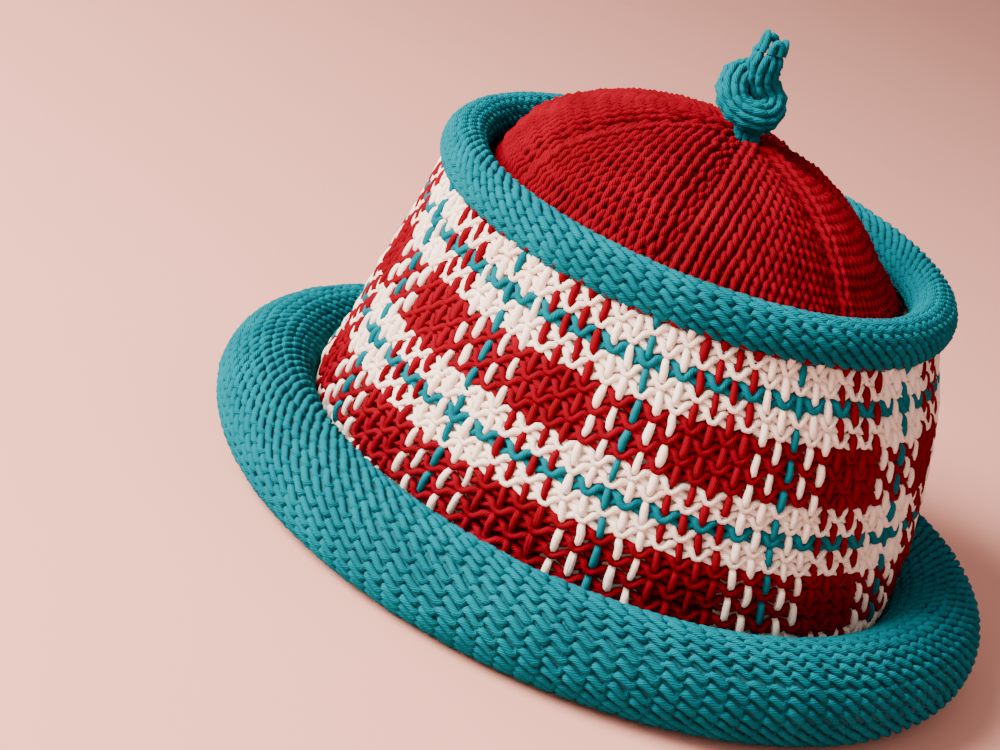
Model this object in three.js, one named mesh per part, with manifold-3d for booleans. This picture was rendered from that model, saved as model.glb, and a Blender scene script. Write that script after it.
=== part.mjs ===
// Knitted hat: a wide rolled brim, a tapered plaid band, a narrow roll round the
// top edge, a domed crown in seven sections and a short cord tied in a knot on top.
// Millimetres, +Z up. The hat rests on the flattened underside of its brim at z = 0,
// its axis is the Z axis and its front faces -Y.
import * as THREE from 'three';
import { mergeVertices } from 'three/addons/utils/BufferGeometryUtils.js';
import Module from 'manifold-3d';

// Driving dimensions
const KNIT_WALL = 3.2;          // plain knitted fabric in thick wool
const PLAID_WALL = 3.6;         // slip-stitch fabric, thicker by the strand behind
const GAP = 0.4;                // clearance kept between neighbouring pieces
const RING_SEGMENTS = 54;       // facets round each ring
const CROWN_SECTIONS = 7;       // sections between the decrease ridges
const FACETS_PER_SECTION = 8;

// Rolled brim: the fabric leaves the band, turns out, up and over, then winds inside itself
const BRIM = {
  innerRadius: 96.5,            // where the roll starts, under the band
  tubeRadius: 14.6,
  settle: 0.8,                  // how far the soft roll flattens on its underside
  startAngle: 165,              // degrees round the section, 0 outwards, 90 up
  sweep: 480,
  stepAngle: 24,
  windingStep: 4.2,             // each new turn lies this much further in
  rampStart: 285,
  rampLength: 75,
  fuller: { front: 0.084, right: 0.016, sides: 0.064 },
  skew: 3.3,                    // wider at front right and back left than across from them
  setBack: 3.4,
};

// Narrow roll round the top of the band
const TOP_ROLL = {
  ringRadius: 77.1,
  height: 104.7,
  tubeRadius: 7.8,
  startAngle: 258,
  sweep: 450,
  stepAngle: 36,
  windingStep: 3.9,
  rampStart: 288,
  rampLength: 108,
};

// Plaid band: its outer face, from the brim to the top roll
const BAND_PROFILE = [
  { height: 24, radius: 97.4 },
  { height: 42, radius: 95.1 },
  { height: 61, radius: 91.8 },
  { height: 80, radius: 87.3 },
];
const BAND_TOP = { radius: 82.2, height: 97.9, innerDrop: 2.6 };

// Crown: its outer face, from the tuck under the top roll to the knot
const CROWN_PROFILE = [
  { radius: 77.2, height: 94.3 },
  { radius: 72.2, height: 94.8 },
  { radius: 69.0, height: 98.4 },
  { radius: 66.4, height: 104.6 },
  { radius: 60.6, height: 112.6 },
  { radius: 52.6, height: 119.4 },
  { radius: 42.8, height: 125.2 },
  { radius: 31.0, height: 129.9 },
  { radius: 17.6, height: 133.0 },
  { radius: 5.4, height: 134.9 },
];
const CORD_HOLE_RADIUS = 5.2;   // the last stitches are drawn up round the cord
const FIRST_RIDGE = -7;         // degrees from the front, towards +X
const SECTION_PUFF = 3.2;       // how far each section swells between two ridges
const CROWN_SLUMP = { drop: 8.5, from: 100, to: 116 };   // lower at the right, higher at the left
const CROWN_LEAN = 3.2;         // how far the top of the crown lies to the right
const CROWN_INNER_STEP = 2;     // the inner face needs every second row only

// Cord with an overhand knot: the route of its centre line, from the top of the crown
const CORD_DIAMETER = 9.0;
const CORD_SIDES = 6;
const CORD_ROUTE = [
  { x: 0.0, y: 0.0, z: -3.2 },
  { x: 0.2, y: 0.4, z: 1.6 },
  { x: 1.8, y: 4.0, z: 6.6 },
  { x: -1.6, y: 5.0, z: 12.2 },
  { x: -7.4, y: 1.8, z: 15.0 },
  { x: -9.2, y: -2.8, z: 11.4 },
  { x: -6.4, y: -5.4, z: 7.0 },
  { x: -0.8, y: -5.9, z: 5.8 },
  { x: 4.4, y: -2.6, z: 7.2 },
  { x: 3.4, y: 1.4, z: 11.0 },
  { x: -1.8, y: 0.4, z: 15.0 },
  { x: -3.4, y: -0.9, z: 19.6 },
  { x: -3.0, y: -1.0, z: 24.6 },
];
const CORD_STEPS_PER_SPAN = 2;
const CORD_SPANS_PER_PIECE = 3;
const STRAND_RADIUS = 2.5;
const STRANDS = [
  { x: -5.6, y: -1.4, top: 31.6 },
  { x: -3.4, y: -3.2, top: 29.8 },
  { x: -0.8, y: -1.6, top: 31.0 },
  { x: -3.2, y: 1.4, top: 30.6 },
];

// The hat keeps the shape of a head: deeper from front to back than from side to side.
// Its upper part tilts forward, and the band bulges to the right.
const HEAD = { oval: 3.6, forward: 2.3, aside: 0.4, fullRadius: 80, tiltFrom: 16, tiltTo: 60 };
const BULGE = { size: 2.3, riseFrom: 16, riseTo: 40, fallFrom: 76, fallTo: 98 };

const rad = THREE.MathUtils.degToRad;
const smooth = THREE.MathUtils.smoothstep;
const mix = THREE.MathUtils.lerp;

// Angle round the hat from the front (-Y) towards +X
function azimuthOf(x, y) {
  return Math.atan2(x, -y);
}

// Point at a radius, an azimuth and a height
function around(radius, azimuth, height) {
  return [radius * Math.sin(azimuth), -radius * Math.cos(azimuth), height];
}

// How much fuller than average the brim is at an azimuth
function brimFullness(azimuth) {
  const { front, right, sides } = BRIM.fuller;
  return 1 + front * Math.cos(azimuth) + right * Math.sin(azimuth) - sides * Math.cos(2 * azimuth);
}

// The shape that the brim gives to a round ring
function seatOnBrim(radius, azimuth, height) {
  const fullness = brimFullness(azimuth);
  const round = BRIM.innerRadius + (radius - BRIM.innerRadius) * fullness;
  const r = round + HEAD.oval * Math.cos(2 * azimuth) + BRIM.skew * Math.sin(2 * azimuth);
  const [x, y, z] = around(r, azimuth, height * fullness);
  return [x, y + BRIM.setBack, z];
}

// The shape that the head gives to the upper hat, the same for every piece so that gaps stay
function seatOnHead(radius, azimuth, height) {
  const reach = Math.min(radius / HEAD.fullRadius, 1);
  const tilt = HEAD.forward * Math.cos(azimuth) + HEAD.aside * Math.sin(azimuth);
  const drop = tilt * reach * smooth(height, HEAD.tiltFrom, HEAD.tiltTo);
  return around(radius + HEAD.oval * Math.cos(2 * azimuth) * reach, azimuth, height - drop);
}

// Turns a closed [radius, height] outline into a ring round Z and bends it by a rule
function ring(outline, segments, bend) {
  const closed = [...outline, outline[0]].map(([r, z]) => new THREE.Vector2(r, z));
  const geometry = new THREE.LatheGeometry(closed, segments);
  geometry.rotateX(Math.PI / 2);
  const place = geometry.attributes.position;
  for (let i = 0; i < place.count; i += 1) {
    const radius = Math.hypot(place.getX(i), place.getY(i));
    const azimuth = azimuthOf(place.getX(i), place.getY(i));
    place.setXYZ(i, ...bend(radius, azimuth, place.getZ(i)));
  }
  return facingOut(welded(geometry));
}

function welded(geometry) {
  const bare = geometry.clone();
  bare.deleteAttribute('normal');
  bare.deleteAttribute('uv');
  return mergeVertices(bare, 1e-3);
}

// Signed volume tells whether the faces of a closed body point out
function signedVolume(geometry) {
  const place = geometry.attributes.position;
  const index = geometry.index;
  const [a, b, c] = [new THREE.Vector3(), new THREE.Vector3(), new THREE.Vector3()];
  let sum = 0;
  for (let i = 0; i < index.count; i += 3) {
    a.fromBufferAttribute(place, index.getX(i));
    b.fromBufferAttribute(place, index.getX(i + 1));
    c.fromBufferAttribute(place, index.getX(i + 2));
    sum += a.dot(b.cross(c)) / 6;
  }
  return sum;
}

function facingOut(geometry) {
  if (signedVolume(geometry) < 0) {
    const index = geometry.index;
    for (let i = 0; i < index.count; i += 3) {
      const first = index.getX(i);
      index.setX(i, index.getX(i + 1));
      index.setX(i + 1, first);
    }
  }
  return geometry;
}

// Section of a rolled edge: a strip of fabric wound into itself, open between its turns
function rolledStrip(roll, centreRadius, centreHeight) {
  const outer = [];
  const inner = [];
  for (let turned = 0; turned <= roll.sweep; turned += roll.stepAngle) {
    const ramp = (turned - roll.rampStart) / roll.rampLength;
    const wound = roll.windingStep * THREE.MathUtils.clamp(ramp, 0, 1);
    const angle = rad(roll.startAngle + turned);
    const outside = roll.tubeRadius - wound;
    const inside = outside - KNIT_WALL;
    outer.push([centreRadius + outside * Math.cos(angle), centreHeight + outside * Math.sin(angle)]);
    inner.push([centreRadius + inside * Math.cos(angle), centreHeight + inside * Math.sin(angle)]);
  }
  return [...outer, ...inner.reverse()];
}

function brimRoll() {
  const centreRadius = BRIM.innerRadius + BRIM.tubeRadius;
  const centreHeight = BRIM.tubeRadius - BRIM.settle;
  const outline = rolledStrip(BRIM, centreRadius, centreHeight);
  const settled = outline.map(([r, z]) => [r, Math.max(z, 0)]);
  return ring(settled, RING_SEGMENTS, seatOnBrim);
}

function topRoll() {
  const outline = rolledStrip(TOP_ROLL, TOP_ROLL.ringRadius, TOP_ROLL.height);
  return ring(outline, RING_SEGMENTS, seatOnHead);
}

function plaidBand() {
  const start = rad(BRIM.startAngle);
  const centreRadius = BRIM.innerRadius + BRIM.tubeRadius;
  const centreHeight = BRIM.tubeRadius - BRIM.settle;
  const atStart = (reach) => [
    centreRadius + reach * Math.cos(start) + GAP * Math.sin(start),
    centreHeight + reach * Math.sin(start) - GAP * Math.cos(start),
  ];
  const outside = BAND_PROFILE.map(({ height, radius }) => [radius, height]);
  const inside = outside.map(([r, z]) => [r - PLAID_WALL, z]).reverse();
  const outline = [
    atStart(BRIM.tubeRadius - KNIT_WALL),
    ...outside,
    [BAND_TOP.radius, BAND_TOP.height],
    [BAND_TOP.radius - PLAID_WALL, BAND_TOP.height - BAND_TOP.innerDrop],
    ...inside,
    atStart(BRIM.tubeRadius + GAP),
  ];
  const foot = centreHeight + BRIM.tubeRadius * Math.sin(start);
  return ring(outline, RING_SEGMENTS, (r, azimuth, z) => {
    const low = seatOnBrim(r, azimuth, z);
    const high = seatOnHead(r, azimuth, z);
    high[0] += BULGE.size * smooth(z, BULGE.riseFrom, BULGE.riseTo)
      * (1 - smooth(z, BULGE.fallFrom, BULGE.fallTo));
    const share = smooth(z, foot, BAND_PROFILE[1].height);
    return low.map((value, axis) => mix(value, high[axis], share));
  });
}

// Swelling of the crown between two ridges, none at a ridge
function puff(azimuth) {
  const across = (azimuth - rad(FIRST_RIDGE)) * CROWN_SECTIONS / 2;
  return Math.sqrt(Math.abs(Math.sin(across)));
}

function crown() {
  const outside = CROWN_PROFILE.map(({ radius, height }) => [radius, height]);
  const thick = outside.map(([r, z], i) => {
    const [r0, z0] = outside[Math.max(i - 1, 0)];
    const [r1, z1] = outside[Math.min(i + 1, outside.length - 1)];
    const length = Math.hypot(r1 - r0, z1 - z0);
    return [r - KNIT_WALL * (z1 - z0) / length, z - KNIT_WALL * (r0 - r1) / length];
  });
  const last = thick.length - 1;
  const inside = thick.filter((_, i) => i === 0 || (last - i) % CROWN_INNER_STEP === 0);
  inside[inside.length - 1][0] = CORD_HOLE_RADIUS;
  const outline = [...outside, ...inside.reverse()];
  const lowest = CROWN_PROFILE[3].height;
  const highest = CROWN_PROFILE[last].height;
  return ring(outline, CROWN_SECTIONS * FACETS_PER_SECTION, (r, azimuth, z) => {
    const rise = smooth(z, lowest - KNIT_WALL, lowest + KNIT_WALL);
    const fade = rise * smooth(r, 0, CROWN_PROFILE[7].radius);
    const slope = (highest - z) / (highest - lowest);
    const swell = SECTION_PUFF * (puff(azimuth) - 0.5) * fade;
    const point = seatOnHead(r + swell * slope, azimuth, z + swell * (1 - slope));
    const reach = Math.min(r / HEAD.fullRadius, 1);
    point[0] += CROWN_LEAN * smooth(z, lowest, highest);
    point[2] -= CROWN_SLUMP.drop * Math.sin(azimuth) * reach
      * smooth(z, CROWN_SLUMP.from, CROWN_SLUMP.to);
    return point;
  });
}

const wasm = await Module();
wasm.setup();

function toSolid(geometry) {
  const merged = facingOut(welded(geometry));
  return new wasm.Manifold(new wasm.Mesh({
    numProp: 3,
    vertProperties: Float32Array.from(merged.attributes.position.array),
    triVerts: Uint32Array.from(merged.index.array),
  }));
}

function toGeometry(solid) {
  const mesh = solid.getMesh();
  const geometry = new THREE.BufferGeometry();
  geometry.setAttribute('position', new THREE.BufferAttribute(mesh.vertProperties, 3));
  geometry.setIndex(new THREE.BufferAttribute(mesh.triVerts, 1));
  return geometry;
}

// One stretch of the cord, a tube along part of its route
function cordStretch(curve, from, to) {
  const section = new THREE.Shape();
  section.absarc(0, 0, CORD_DIAMETER / 2, 0, 2 * Math.PI);
  const spans = CORD_ROUTE.length - 1;
  const stretch = [];
  const steps = (to - from) * CORD_STEPS_PER_SPAN;
  for (let i = 0; i <= steps; i += 1) {
    stretch.push(curve.getPoint((from + i / CORD_STEPS_PER_SPAN) / spans));
  }
  return new THREE.ExtrudeGeometry(section, {
    extrudePath: new THREE.CatmullRomCurve3(stretch),
    steps,
    curveSegments: CORD_SIDES,
  });
}

function strand({ x, y, top }) {
  const foot = CORD_ROUTE[CORD_ROUTE.length - 3].z;
  const length = top - foot - 2 * STRAND_RADIUS;
  const geometry = new THREE.CapsuleGeometry(STRAND_RADIUS, length, 2, 6);
  geometry.rotateX(Math.PI / 2);
  return geometry.translate(x, y, foot + STRAND_RADIUS + length / 2);
}

function knotCord() {
  const points = CORD_ROUTE.map(({ x, y, z }) => new THREE.Vector3(x, y, z));
  const curve = new THREE.CatmullRomCurve3(points);
  const spans = CORD_ROUTE.length - 1;
  let solid = null;
  for (let from = 0; from < spans; from += CORD_SPANS_PER_PIECE) {
    const reach = Math.min(from + CORD_SPANS_PER_PIECE, spans);
    const piece = toSolid(cordStretch(curve, from, reach));
    const elbow = new THREE.SphereGeometry(CORD_DIAMETER / 2, CORD_SIDES, 4);
    elbow.translate(points[reach].x, points[reach].y, points[reach].z);
    const joined = piece.add(toSolid(elbow));
    solid = solid ? solid.add(joined) : joined;
  }
  for (const one of STRANDS) {
    solid = solid.add(toSolid(strand(one)));
  }
  const base = CROWN_PROFILE[CROWN_PROFILE.length - 1].height;
  return toGeometry(solid).translate(CROWN_LEAN, 0, base);
}

// Colours and finish of the wool
const TEAL = new THREE.MeshStandardMaterial({ color: '#1b9aa3', roughness: 0.95, metalness: 0 });
const RED = new THREE.MeshStandardMaterial({ color: '#b3000f', roughness: 0.95, metalness: 0 });
const PLAID = new THREE.MeshStandardMaterial({ color: '#c8736e', roughness: 0.95, metalness: 0 });

const hat = new THREE.Group();

function addPiece(name, geometry, material) {
  const mesh = new THREE.Mesh(geometry, material);
  mesh.name = name;
  hat.add(mesh);
}

addPiece('brim_roll', brimRoll(), TEAL);
addPiece('plaid_band', plaidBand(), PLAID);
addPiece('top_roll', topRoll(), TEAL);
addPiece('crown', crown(), RED);
addPiece('knot_cord', knotCord(), TEAL);

export default hat;
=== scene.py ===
# %% [markdown]
# # A hand-knitted hat, yarn by yarn
# The hat has a wide rolled brim, a plaid side band, a narrow roll round the top, a domed
# crown in seven sections and a short cord tied in a knot. All of it is wool, and what the
# eye reads is the yarn itself: purl bumps on the rolls, plain stitches on the crown and long
# slipped stitches on the band. So each row of stitches is drawn here as one yarn, a curve
# that follows what shows of its loops, over a thin backing that closes the fabric.

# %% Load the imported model
import math

import bmesh
import bpy
import numpy as np
from mathutils import Matrix, Vector


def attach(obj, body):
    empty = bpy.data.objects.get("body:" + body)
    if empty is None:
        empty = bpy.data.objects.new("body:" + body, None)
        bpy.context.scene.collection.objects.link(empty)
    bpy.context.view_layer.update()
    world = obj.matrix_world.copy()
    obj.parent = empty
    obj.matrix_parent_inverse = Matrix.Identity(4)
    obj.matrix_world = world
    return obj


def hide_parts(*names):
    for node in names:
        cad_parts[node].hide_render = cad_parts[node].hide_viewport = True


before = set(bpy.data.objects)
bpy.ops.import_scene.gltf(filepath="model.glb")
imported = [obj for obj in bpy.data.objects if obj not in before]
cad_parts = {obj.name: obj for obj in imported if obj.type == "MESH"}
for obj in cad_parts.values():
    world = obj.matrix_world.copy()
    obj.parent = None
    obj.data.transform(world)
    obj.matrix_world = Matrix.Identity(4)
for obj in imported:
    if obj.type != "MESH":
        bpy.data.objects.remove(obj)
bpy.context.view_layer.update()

MM = 0.001

# %% [markdown]
# The camera comes first, because it decides how fine the yarn has to be. It looks down at
# the hat by 19 degrees and is rolled by 20 degrees, so the hat leans to the right in the
# picture while it stands level on the floor. At this lens and distance one millimetre is
# about three pixels, and a yarn of two millimetres shows its plies only just.

# %% Camera
SENSOR = 36.0             # mm
FOCAL_PIXELS = 2200.0
PHOTO_WIDTH = 1000.0
CAMERA_DISTANCE = 674.3 * MM
CAMERA_ELEVATION = math.radians(19.32)
CAMERA_ROLL = math.radians(20.23)
AIM = Vector((-40.0, 0.0, 37.7)) * MM
FAR_CLIP = 20.0

towards = Vector((0.0, -math.cos(CAMERA_ELEVATION), math.sin(CAMERA_ELEVATION)))
level_up = Vector((0.0, math.sin(CAMERA_ELEVATION), math.cos(CAMERA_ELEVATION)))
level_right = Vector((1.0, 0.0, 0.0))
right = level_right * math.cos(CAMERA_ROLL) + level_up * math.sin(CAMERA_ROLL)
up = level_up * math.cos(CAMERA_ROLL) - level_right * math.sin(CAMERA_ROLL)

camera_data = bpy.data.cameras.new("camera")
camera_data.sensor_width = SENSOR
camera_data.lens = SENSOR * FOCAL_PIXELS / PHOTO_WIDTH
camera_data.clip_end = FAR_CLIP
camera = bpy.data.objects.new("camera", camera_data)
bpy.context.scene.collection.objects.link(camera)
turned = Matrix((right, up, towards)).transposed().to_4x4()
camera.matrix_world = Matrix.Translation(AIM + towards * CAMERA_DISTANCE) @ turned
bpy.context.scene.camera = camera
print("lens", round(camera_data.lens, 1), "mm, pixels per mm", FOCAL_PIXELS * MM / CAMERA_DISTANCE)

# %% [markdown]
# Colours are written as the sRGB hex values that a colour picker shows, and turned to the
# linear values that the renderer works with. One helper adds a node, sets its inputs and
# links it, so that a material reads as a list of what it is made of.

# %% Colour and node helpers
def linear(hex_colour):
    """An sRGB hex colour as linear RGBA."""
    parts = [int(hex_colour[i:i + 2], 16) / 255 for i in (1, 3, 5)]
    channels = [c / 12.92 if c <= 0.04045 else ((c + 0.055) / 1.055) ** 2.4 for c in parts]
    return tuple(channels) + (1.0,)


def add(tree, kind, inputs=None, **settings):
    """Adds a node. An input is given a value, or the socket that feeds it."""
    node = tree.nodes.new(kind)
    for name, value in settings.items():
        setattr(node, name, value)
    for name, value in (inputs or {}).items():
        if isinstance(value, bpy.types.NodeSocket):
            tree.links.new(value, node.inputs[name])
        else:
            node.inputs[name].default_value = value
    return node


def new_material(name):
    """An empty node material with its shader and its output."""
    material = bpy.data.materials.new(name)
    material.use_nodes = True
    tree = material.node_tree
    tree.nodes.clear()
    shader = add(tree, "ShaderNodeBsdfPrincipled")
    output = add(tree, "ShaderNodeOutputMaterial")
    tree.links.new(shader.outputs["BSDF"], output.inputs["Surface"])
    return material, tree, shader


# %% [markdown]
# The floor is plain paper in a pale pink. Its hex values are stronger than what the picture
# shows, because the view transform takes colour out of everything that is brightly lit, and
# the colours of the yarn are darker for the same reason.

# %% Floor
FLOOR_SIZE = 10.0         # metres
FLOOR_CLOUD = 0.2         # metres across a slightly darker or lighter cloud in the paper
floor_mesh = bpy.data.meshes.new("floor")
floor_bm = bmesh.new()
bmesh.ops.create_grid(floor_bm, x_segments=1, y_segments=1, size=FLOOR_SIZE / 2)
floor_bm.to_mesh(floor_mesh)
floor_bm.free()
floor = bpy.data.objects.new("floor", floor_mesh)
bpy.context.scene.collection.objects.link(floor)

paper, paper_tree, paper_shader = new_material("matt paper, painted")
paper_place = add(paper_tree, "ShaderNodeTexCoord")
paper_grain = add(paper_tree, "ShaderNodeTexNoise",
                  {"Vector": paper_place.outputs["Object"], "Scale": 1 / FLOOR_CLOUD, "Detail": 2.0})
paper_tone = add(paper_tree, "ShaderNodeMix",
                 {"Factor": paper_grain.outputs["Fac"], "A": linear("#e29e8f"),
                  "B": linear("#e6a496")},
                 data_type="RGBA")
paper_tree.links.new(paper_tone.outputs["Result"], paper_shader.inputs["Base Color"])
paper_shader.inputs["Roughness"].default_value = 0.9
paper_shader.inputs["Specular IOR Level"].default_value = 0.2
floor_mesh.materials.append(paper)
print("floor", FLOOR_SIZE, "m square")

# %% [markdown]
# One large soft light stands at the left and above, as a window does, a weak one fills in
# from the front, and the world adds a little light from everywhere, so that the hollows
# between the stitches stay dark but not black. The large light is near, so the floor grows
# darker to the right.

# %% Lights
HAT_MIDDLE = (0.0, 0.0, 0.06)
WINDOW_PLACE = (-1.05, -0.5, 0.9)
WINDOW_SIZE = 0.8
WINDOW_POWER = 98.0
FILL_PLACE = (-0.2, -1.6, 0.9)
FILL_SIZE = 1.2
FILL_POWER = 9.0
ROOM_STRENGTH = 0.5


def soft_light(name, place, target, size, power, colour):
    """A square area light that faces a target."""
    data = bpy.data.lights.new(name, "AREA")
    data.size = size
    data.energy = power
    data.color = linear(colour)[:3]
    lamp = bpy.data.objects.new(name, data)
    lamp.location = place
    aim = Vector(target) - Vector(place)
    lamp.rotation_euler = aim.to_track_quat("-Z", "Y").to_euler()
    bpy.context.scene.collection.objects.link(lamp)
    return lamp


soft_light("window", WINDOW_PLACE, HAT_MIDDLE, WINDOW_SIZE, WINDOW_POWER, "#fff2e8")
soft_light("fill", FILL_PLACE, HAT_MIDDLE, FILL_SIZE, FILL_POWER, "#ffe4da")

world = bpy.data.worlds.new("soft room")
world.use_nodes = True
sky = world.node_tree.nodes["Background"]
sky.inputs["Color"].default_value = linear("#ffeae2")
sky.inputs["Strength"].default_value = ROOM_STRENGTH
bpy.context.scene.world = world
print("lights", WINDOW_POWER, "W and", FILL_POWER, "W")

# %% [markdown]
# The yarn is a smooth wool of eight fine plies. They wind round each other, so a yarn's surface
# has rounded ridges with sharp grooves between them, which run round and along it together.
# The curve's own UV map gives both directions: U is the distance along the yarn in
# millimetres, V goes once round it. On top of that come short fibres, a faint sheen from
# the fuzz that stands off the surface, and slight changes of tone from the dye. The grooves
# and the low spots among the fibres are painted in a deeper tone, as painted shade.

# %% Yarn material
PLIES = 8
PLY_SPACING = 0.9         # mm along the yarn from one ply to the next
PLY_DEPTH = 0.2 * MM
FIBRE_SIZE = 0.28         # mm across a tuft of fibres, as coarse as the picture can show
FIBRE_SHARE = 0.8         # height of a tuft against that of a ply
DYE_PATCH = 14.0          # mm across a lighter or darker patch of dye
DYE_CHANGE = 0.55         # how far a light patch goes towards the light tone
TAU = 2 * math.pi


def wool_yarn(name, light, middle, deep, sheen):
    """Plied wool yarn in three tones: lighter patches of dye, a middle tone, and a deep tone that is
    painted shade in its grooves.
    """
    material, tree, shader = new_material(name)
    place = add(tree, "ShaderNodeTexCoord").outputs["Object"]
    along_round = add(tree, "ShaderNodeSeparateXYZ",
                      {"Vector": add(tree, "ShaderNodeUVMap", uv_map="UVMap").outputs["UV"]})
    along = add(tree, "ShaderNodeMath",
                {0: along_round.outputs["X"], 1: math.pi / PLY_SPACING}, operation="MULTIPLY")
    phase = add(tree, "ShaderNodeMath",
                {0: along_round.outputs["Y"], 1: math.pi * PLIES, 2: along.outputs[0]},
                operation="MULTIPLY_ADD")
    wave = add(tree, "ShaderNodeMath", {0: phase.outputs[0]}, operation="SINE")
    ply = add(tree, "ShaderNodeMath", {0: wave.outputs[0]}, operation="ABSOLUTE")
    fibre = add(tree, "ShaderNodeTexNoise",
                {"Vector": place, "Scale": 1 / (FIBRE_SIZE * MM), "Detail": 2.0, "Roughness": 0.6})
    dye = add(tree, "ShaderNodeTexNoise",
              {"Vector": place, "Scale": 1 / (DYE_PATCH * MM), "Detail": 2.0, "Roughness": 0.5})
    height = add(tree, "ShaderNodeMath",
                 {0: fibre.outputs["Fac"], 1: FIBRE_SHARE, 2: ply.outputs[0]},
                 operation="MULTIPLY_ADD")
    bump = add(tree, "ShaderNodeBump",
               {"Height": height.outputs[0], "Strength": 0.75, "Distance": PLY_DEPTH})
    # Painted shade: where the ply grooves and the fibres lie low, the colour goes to the deep tone.
    groove_shade_mask = add(tree, "ShaderNodeMapRange",
                   {"Value": height.outputs[0], "From Min": 0.35, "From Max": 1.35})
    groove_shaded = add(tree, "ShaderNodeMix",
               {"Factor": groove_shade_mask.outputs["Result"], "A": linear(deep), "B": linear(middle)},
               data_type="RGBA")
    dye_tone = add(tree, "ShaderNodeMapRange",
                   {"Value": dye.outputs["Fac"], "From Min": 0.35, "From Max": 0.7,
                    "To Min": 0.0, "To Max": DYE_CHANGE})
    tinted = add(tree, "ShaderNodeMix",
                 {"Factor": dye_tone.outputs["Result"], "A": groove_shaded.outputs["Result"],
                  "B": linear(light)},
                 data_type="RGBA")
    tree.links.new(tinted.outputs["Result"], shader.inputs["Base Color"])
    tree.links.new(bump.outputs["Normal"], shader.inputs["Normal"])
    shader.inputs["Roughness"].default_value = 0.92
    shader.inputs["Specular IOR Level"].default_value = 0.04
    shader.inputs["Sheen Weight"].default_value = 0.1
    shader.inputs["Sheen Roughness"].default_value = 0.45
    shader.inputs["Sheen Tint"].default_value = linear(sheen)
    return material


teal_yarn = wool_yarn("teal wool yarn, eight-ply, spun",
                      "#007482", "#006270", "#004f5b", "#1f9fb0")
red_yarn = wool_yarn("red wool yarn, eight-ply, spun",
                     "#80001a", "#6c0010", "#52000b", "#b00020")
cream_yarn = wool_yarn("cream wool yarn, eight-ply, spun",
                       "#fff6ea", "#fdebdc", "#dcc3b0", "#ffffff")
print("yarn materials:", teal_yarn.name, "/", red_yarn.name, "/", cream_yarn.name)

# %% [markdown]
# A knitted row is one yarn. Seen flat it swings up and down once for each stitch and leans
# back on itself, so that every loop is wider than its neck, and in depth it dips twice for
# each stitch. Three sine curves give that path. Where the two feet and the head of a loop
# lie in front, the fabric shows purl bumps; where its legs lie in front, it shows the
# V-shaped plain stitches. The twist of the yarn slants the loops, and on the purl side it
# brings the falling leg of each loop forward, so the bumps join up into S-shaped strokes.
# Small random errors in place, width and tension, which run smoothly along the row, make it
# a hand-knitted one. Every row has a seed of its own, so that a change to one row leaves the
# errors of all others as they are.

# %% The path of one row of stitches
POINTS_PER_STITCH = 8
SLANT_LIFT = 6.5          # mm forward on the falling leg for each stitch width of slant
PLACE_ERROR = 0.035       # of a stitch's width
TENSION_ERROR = 0.04      # of a row's height
HEIGHT_ERROR = 0.035      # of a row's height
LIFT_ERROR = 0.12         # of the fabric's depth


def uneven(turn, stitches, chance, size):
    """A random value for every stitch, blended smoothly along the row."""
    values = chance.normal(0.0, size, stitches)
    at = np.arange(stitches + 1)
    return np.interp(turn % stitches, at, np.append(values, values[0]))


def stitch_row(stitches, row_height, depth, face, chance, neck, reach=0.9, slant=0.0):
    """One closed row. Returns share of the row from 0 to 1, distance up and lift outwards.
    face is 1 for plain stitches and -1 for purl bumps, neck says how far a loop leans back
    on itself, reach how far it swings up and down, in rows, and slant how far its head is
    pushed back along the row, in stitches. Lengths are in millimetres."""
    count = stitches * POINTS_PER_STITCH
    turn = np.arange(count) / POINTS_PER_STITCH
    angle = TAU * turn
    share = turn + neck * np.sin(2 * angle) + slant * np.cos(angle)
    share = share + uneven(turn, stitches, chance, PLACE_ERROR)
    tension = reach + uneven(turn, stitches, chance, TENSION_ERROR)
    rise = -row_height * tension * np.cos(angle)
    rise = rise + uneven(turn, stitches, chance, HEIGHT_ERROR * row_height)
    lift = -face * depth * np.cos(2 * angle) - SLANT_LIFT * slant * np.sin(angle)
    lift = lift + uneven(turn, stitches, chance, LIFT_ERROR * depth)
    return share / stitches, rise, lift


# %% [markdown]
# Each path becomes a spline with a round bevel of six sides, and the whole set is turned
# into one mesh. A modelled loop that is copied along the row would do for a straight edge,
# but here every row has its own length and its own errors, and one spline keeps the yarn
# unbroken. Blender gives such a mesh a UV map that runs from 0 to 1 along each spline,
# whatever its length, so U is multiplied by the yarn's length in millimetres. Then the
# plies have the same pitch on a short row as on a long one.

# %% From yarn paths to a mesh
YARN_SIDES = 6
THICKNESS_ERROR = 0.07    # of the yarn's radius
POINTS_PER_BULGE = 4


def make_object(name, mesh, material, slot, *nodes):
    """Links a mesh as a piece of the hat that rides on its body and stands for CAD nodes."""
    mesh.materials.clear()
    mesh.materials.append(material)
    piece = bpy.data.objects.new(name, mesh)
    bpy.context.scene.collection.objects.link(piece)
    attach(piece, "root")
    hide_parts(*nodes)
    return piece


def path_length(points, closed):
    """Length of a path in millimetres."""
    steps = np.diff(np.vstack([points, points[:1]]) if closed else points, axis=0)
    return float(np.linalg.norm(steps, axis=1).sum() / MM)


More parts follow.
